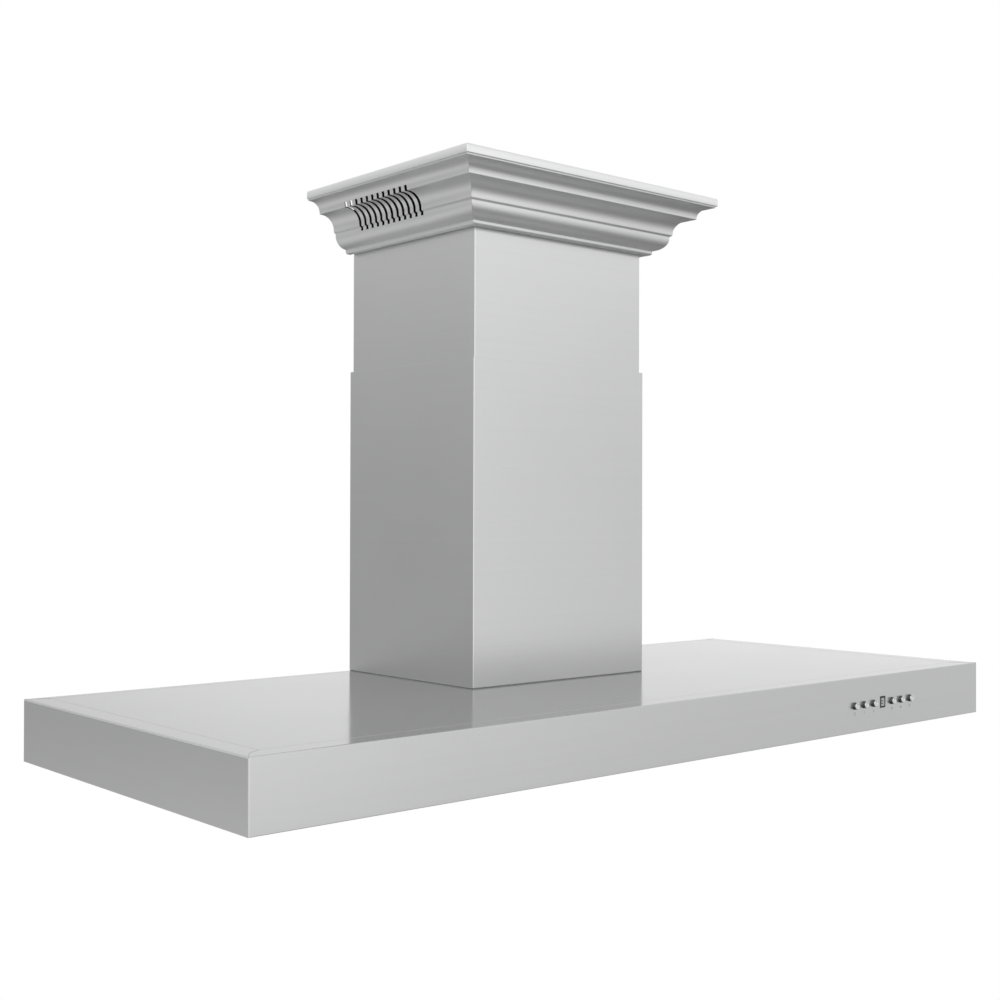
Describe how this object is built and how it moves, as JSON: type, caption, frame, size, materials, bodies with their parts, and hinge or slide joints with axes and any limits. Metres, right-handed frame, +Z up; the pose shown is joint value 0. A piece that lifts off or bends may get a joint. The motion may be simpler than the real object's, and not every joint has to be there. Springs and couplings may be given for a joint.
{
  "type": "range hood",
  "caption": "Wide wall chimney range hood in brushed steel: flat box canopy, telescopic chimney, slotted crown moulding, push buttons, baffle filters and lamps.",
  "frame": {"origin": "middle of the canopy's back face, in the plane of the wall", "axes": "+X along the front to the viewer's right, +Y towards the wall, +Z up; the front faces -Y"},
  "size_m": [1.219, 0.5047, 0.7195],
  "materials": {
    "brushed_stainless": "satin",
    "underside_steel": "satin",
    "filter_steel": "satin",
    "galvanised_steel": "satin",
    "motor_casing": "satin",
    "polished_steel": "polished",
    "black_plastic": "matte",
    "speaker_gauze": "matte",
    "grey_plastic": "satin",
    "white_plastic": "satin",
    "circuit_board": "satin",
    "lamp_lens": "satin",
    "display_glass": "gloss"
  },
  "bodies": {
    "canopy": {"blower_box": "galvanised_steel", "cable_gland": "grey_plastic", "canopy_shell": "brushed_stainless", "control_board": "circuit_board", "control_housing": "black_plastic", "damper_pin": "polished_steel", "display_bezel": "black_plastic", "display_window": "display_glass", "duct_collar": "black_plastic", "fan_motor": "motor_casing", "fan_scroll": "galvanised_steel", "filter_rail": "galvanised_steel", "junction_box": "galvanised_steel", "junction_lid": "galvanised_steel", "led_driver": "white_plastic", "led_housing_1": "polished_steel", "led_housing_2": "polished_steel", "led_housing_3": "polished_steel", "led_housing_4": "polished_steel", "led_lens_1": "lamp_lens", "led_lens_2": "lamp_lens", "led_lens_3": "lamp_lens", "led_lens_4": "lamp_lens", "lower_chimney_bracket": "galvanised_steel", "lower_chimney_cover": "brushed_stainless", "motor_bracket": "galvanised_steel", "motor_capacitor": "white_plastic", "top_panel": "brushed_stainless", "underside_pan": "underside_steel", "wall_bracket": "galvanised_steel"},
    "chimney_top": {"upper_chimney_cover": "brushed_stainless", "crown_moulding": "brushed_stainless", "upper_chimney_bracket": "galvanised_steel", "speaker_left": "black_plastic", "speaker_right": "black_plastic", "speaker_mesh_left": "speaker_gauze", "speaker_mesh_right": "speaker_gauze", "audio_module": "black_plastic"},
    "fan_wheel": {"impeller": "black_plastic", "motor_shaft": "polished_steel"},
    "flap_left": {"damper_flap_left": "galvanised_steel"},
    "flap_right": {"damper_flap_right": "galvanised_steel"},
    "button_1": {"button_1": "polished_steel"},
    "button_2": {"button_2": "polished_steel"},
    "button_3": {"button_3": "polished_steel"},
    "button_4": {"button_4": "polished_steel"},
    "button_5": {"button_5": "polished_steel"},
    "button_6": {"button_6": "polished_steel"},
    "filter_1": {"baffle_filter_1": "filter_steel"},
    "latch_1": {"filter_latch_1": "polished_steel"},
    "filter_2": {"baffle_filter_2": "filter_steel"},
    "latch_2": {"filter_latch_2": "polished_steel"},
    "filter_3": {"baffle_filter_3": "filter_steel"},
    "latch_3": {"filter_latch_3": "polished_steel"},
    "filter_4": {"baffle_filter_4": "filter_steel"},
    "latch_4": {"filter_latch_4": "polished_steel"}
  },
  "joints": [
    {"name": "chimney_extension", "type": "slide", "parent": "canopy", "child": "chimney_top", "axis": [0, 0, 1], "range_m": [-0.155, 0.19]},
    {"name": "button_1_press", "type": "slide", "parent": "canopy", "child": "button_1", "axis": [0, 1, 0], "range_m": [0, 0.0022], "stiffness_N_per_m": 600},
    {"name": "button_2_press", "type": "slide", "parent": "canopy", "child": "button_2", "axis": [0, 1, 0], "range_m": [0, 0.0022], "stiffness_N_per_m": 600},
    {"name": "button_3_press", "type": "slide", "parent": "canopy", "child": "button_3", "axis": [0, 1, 0], "range_m": [0, 0.0022], "stiffness_N_per_m": 600},
    {"name": "button_4_press", "type": "slide", "parent": "canopy", "child": "button_4", "axis": [0, 1, 0], "range_m": [0, 0.0022], "stiffness_N_per_m": 600},
    {"name": "button_5_press", "type": "slide", "parent": "canopy", "child": "button_5", "axis": [0, 1, 0], "range_m": [0, 0.0022], "stiffness_N_per_m": 600},
    {"name": "button_6_press", "type": "slide", "parent": "canopy", "child": "button_6", "axis": [0, 1, 0], "range_m": [0, 0.0022], "stiffness_N_per_m": 600},
    {"name": "filter_1_tilt", "type": "hinge", "parent": "canopy", "child": "filter_1", "pos_m": [-0.432, -0.07, -0.031], "axis": [1, 0, 0], "range_deg": [0, 60]},
    {"name": "filter_2_tilt", "type": "hinge", "parent": "canopy", "child": "filter_2", "pos_m": [-0.144, -0.07, -0.031], "axis": [1, 0, 0], "range_deg": [0, 60]},
    {"name": "filter_3_tilt", "type": "hinge", "parent": "canopy", "child": "filter_3", "pos_m": [0.144, -0.07, -0.031], "axis": [1, 0, 0], "range_deg": [0, 60]},
    {"name": "filter_4_tilt", "type": "hinge", "parent": "canopy", "child": "filter_4", "pos_m": [0.432, -0.07, -0.031], "axis": [1, 0, 0], "range_deg": [0, 60]},
    {"name": "latch_1_pull", "type": "slide", "parent": "filter_1", "child": "latch_1", "axis": [0, 1, 0], "range_m": [0, 0.004], "stiffness_N_per_m": 400},
    {"name": "latch_2_pull", "type": "slide", "parent": "filter_2", "child": "latch_2", "axis": [0, 1, 0], "range_m": [0, 0.004], "stiffness_N_per_m": 400},
    {"name": "latch_3_pull", "type": "slide", "parent": "filter_3", "child": "latch_3", "axis": [0, 1, 0], "range_m": [0, 0.004], "stiffness_N_per_m": 400},
    {"name": "latch_4_pull", "type": "slide", "parent": "filter_4", "child": "latch_4", "axis": [0, 1, 0], "range_m": [0, 0.004], "stiffness_N_per_m": 400},
    {"name": "fan_spin", "type": "hinge", "parent": "canopy", "child": "fan_wheel", "pos_m": [0, -0.1, 0.142], "axis": [1, 0, 0], "continuous": true},
    {"name": "flap_left_swing", "type": "hinge", "parent": "canopy", "child": "flap_left", "pos_m": [0, -0.132, 0.282], "axis": [0, 1, 0], "range_deg": [0, 75]},
    {"name": "flap_right_swing", "type": "hinge", "parent": "canopy", "child": "flap_right", "pos_m": [0, -0.132, 0.282], "axis": [0, -1, 0], "range_deg": [0, 75]}
  ]
}
